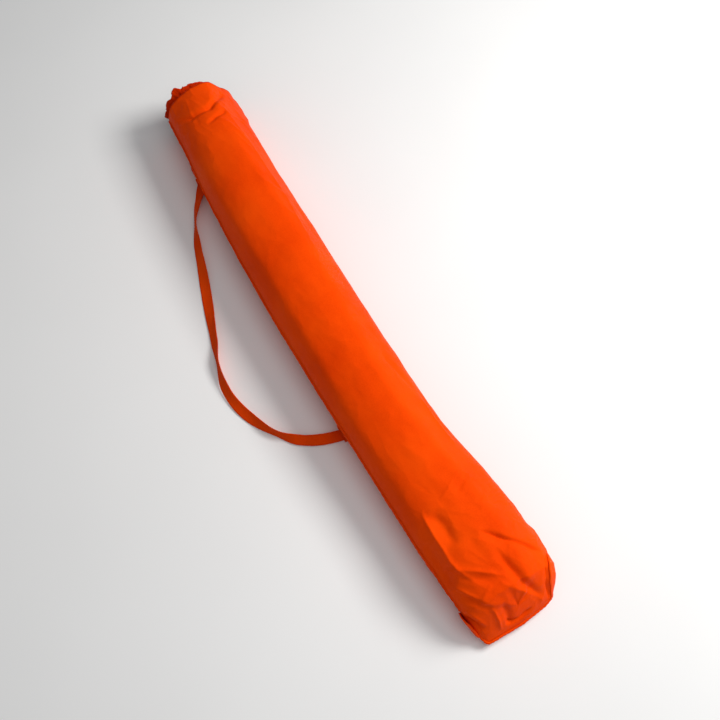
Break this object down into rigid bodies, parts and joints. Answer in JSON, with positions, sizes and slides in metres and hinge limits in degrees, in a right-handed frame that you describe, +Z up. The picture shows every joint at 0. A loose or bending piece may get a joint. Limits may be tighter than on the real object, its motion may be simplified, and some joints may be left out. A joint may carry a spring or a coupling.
{
  "type": "windsock and pole kit in carry bag",
  "caption": "Orange nylon drawstring carry bag with a shoulder strap, lying packed with a telescopic windsock pole and rolled windsock.",
  "frame": {"origin": "on the floor, under the middle of the bag", "axes": "+X along the bag from its sewn base to its drawn mouth, +Z up, +Y to the side where the shoulder strap lies"},
  "size_m": [1.163, 0.3402, 0.1305],
  "materials": {
    "bag_nylon": "satin",
    "strap_webbing": "satin",
    "cord": "matte",
    "black_plastic": "satin",
    "white_plastic": "satin",
    "tube_aluminium": "satin",
    "steel": "satin",
    "sock_nylon": "satin",
    "tie_tape": "matte"
  },
  "bodies": {
    "bag": {"bag_body": "bag_nylon", "bag_base": "bag_nylon", "mouth_shoulder": "bag_nylon", "mouth_hem": "bag_nylon", "mouth_frill": "bag_nylon", "base_seam": "bag_nylon", "dog_ear_left": "bag_nylon", "dog_ear_right": "bag_nylon", "side_seam": "bag_nylon", "strap_patch_upper": "strap_webbing", "strap_patch_lower": "strap_webbing", "shoulder_strap": "strap_webbing", "cord_eyelet": "steel", "drawcord": "cord", "cord_tail_a": "cord", "cord_tail_b": "cord", "cord_end": "black_plastic"},
    "cord_lock": {"lock_barrel": "black_plastic", "lock_spring": "steel"},
    "lock_button": {"lock_button": "black_plastic"},
    "mast_top": {"inner_tube": "tube_aluminium", "inner_bush": "white_plastic", "head_plug": "black_plastic", "swivel_spindle": "steel", "spindle_washers": "steel", "spindle_nut": "steel"},
    "swivel": {"swivel_sleeve": "steel", "swivel_bushes": "white_plastic"},
    "mast_middle": {"middle_tube": "tube_aluminium", "middle_bush": "white_plastic", "upper_ferrule": "black_plastic", "upper_collet": "white_plastic"},
    "upper_collar": {"upper_collar": "black_plastic"},
    "mast_lower": {"outer_tube": "tube_aluminium", "lower_ferrule": "black_plastic", "lower_collet": "white_plastic", "foot_ferrule": "black_plastic"},
    "lower_collar": {"lower_collar": "black_plastic"},
    "spike": {"spike_plug": "steel", "spike_rod": "steel"},
    "windsock": {"sock_roll": "sock_nylon", "throat_hoop": "steel", "tie_strap_a": "tie_tape", "tie_strap_b": "tie_tape", "bridle_tab": "tie_tape", "bridle_ring": "steel"}
  },
  "joints": [
    {"name": "mast_out", "type": "slide", "parent": "bag", "child": "mast_top", "axis": [1, 0, 0], "range_m": [0, 1.2]},
    {"name": "middle_slide", "type": "slide", "parent": "mast_top", "child": "mast_middle", "axis": [1, 0, 0], "range_m": [0, 0.85]},
    {"name": "lower_slide", "type": "slide", "parent": "mast_middle", "child": "mast_lower", "axis": [1, 0, 0], "range_m": [0, 0.85]},
    {"name": "upper_twist", "type": "hinge", "parent": "mast_middle", "child": "upper_collar", "pos_m": [-0.455, 0.026, 0.058], "axis": [1, 0, 0], "range_deg": [0, 120]},
    {"name": "lower_twist", "type": "hinge", "parent": "mast_lower", "child": "lower_collar", "pos_m": [-0.41, 0.026, 0.058], "axis": [1, 0, 0], "range_deg": [0, 120]},
    {"name": "swivel_spin", "type": "hinge", "parent": "mast_top", "child": "swivel", "pos_m": [-0.514, 0.026, 0.058], "axis": [1, 0, 0], "continuous": true},
    {"name": "spike_pull", "type": "slide", "parent": "mast_lower", "child": "spike", "axis": [1, 0, 0], "range_m": [0, 0.4]},
    {"name": "sock_out", "type": "slide", "parent": "bag", "child": "windsock", "axis": [1, 0, 0], "range_m": [0, 1.15], "deforming": ["mouth_shoulder", "mouth_hem", "mouth_frill", "cord_eyelet", "drawcord"]},
    {"name": "lock_slide", "type": "slide", "parent": "bag", "child": "cord_lock", "axis": [0, -1, 0], "range_m": [0, 0.005]},
    {"name": "lock_press", "type": "slide", "parent": "cord_lock", "child": "lock_button", "axis": [0, 0, -1], "range_m": [0, 0.0024], "stiffness_N_per_m": 900, "springref_m": -0.002, "deforming": ["lock_spring"]}
  ]
}
